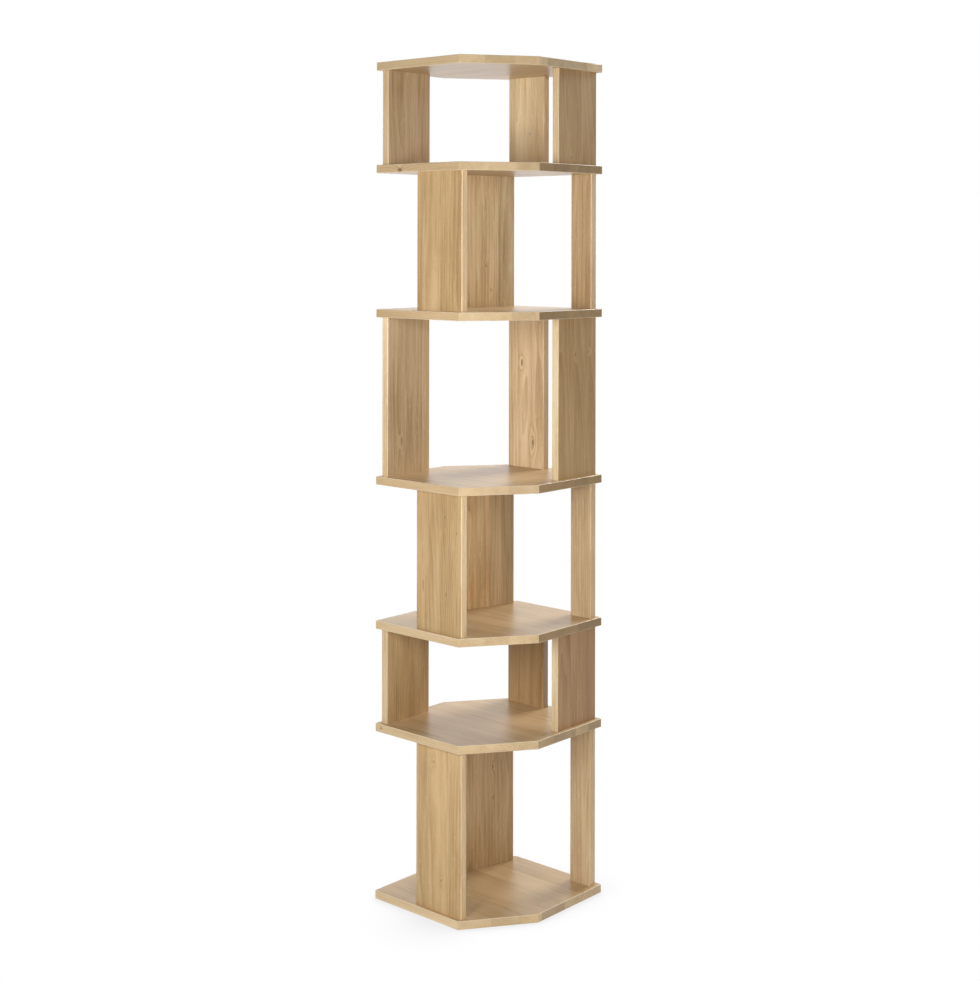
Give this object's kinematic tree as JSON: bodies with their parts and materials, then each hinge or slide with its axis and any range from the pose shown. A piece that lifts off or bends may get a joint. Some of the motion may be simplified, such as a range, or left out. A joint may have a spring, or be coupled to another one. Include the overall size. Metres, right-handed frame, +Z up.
{
  "type": "bookshelf",
  "caption": "Tall free-standing open bookshelf: six-sided oak boards held apart by upright oak panels that stand along different board edges from tier to tier.",
  "frame": {"origin": "middle of the base board's underside, on the floor", "axes": "+Z up, +X along the boards' straight front edge, +Y from the front edge to the back edge"},
  "size_m": [0.38, 0.39, 2],
  "materials": {
    "oak_board": "matt oiled natural oak",
    "oak_panel": "matt oiled natural oak",
    "dowel_wood": "plain beech"
  },
  "bodies": {
    "root": {"base_board": "oak_board", "shelf_1_board": "oak_board", "shelf_2_board": "oak_board", "shelf_3_board": "oak_board", "shelf_4_board": "oak_board", "shelf_5_board": "oak_board", "top_board": "oak_board", "tier_1_front_panel": "oak_panel", "tier_1_narrow_panel": "oak_panel", "tier_1_inner_panel": "oak_panel", "tier_2_left_panel": "oak_panel", "tier_2_right_panel": "oak_panel", "tier_2_back_panel": "oak_panel", "tier_3_front_panel": "oak_panel", "tier_3_narrow_panel": "oak_panel", "tier_3_inner_panel": "oak_panel", "tier_4_left_panel": "oak_panel", "tier_4_right_panel": "oak_panel", "tier_4_back_panel": "oak_panel", "tier_5_front_panel": "oak_panel", "tier_5_narrow_panel": "oak_panel", "tier_5_inner_panel": "oak_panel", "tier_6_left_panel": "oak_panel", "tier_6_right_panel": "oak_panel", "tier_6_back_panel": "oak_panel", "tier_1_dowels": "dowel_wood", "tier_2_dowels": "dowel_wood", "tier_3_dowels": "dowel_wood", "tier_4_dowels": "dowel_wood", "tier_5_dowels": "dowel_wood", "tier_6_dowels": "dowel_wood"}
  },
  "joints": []
}
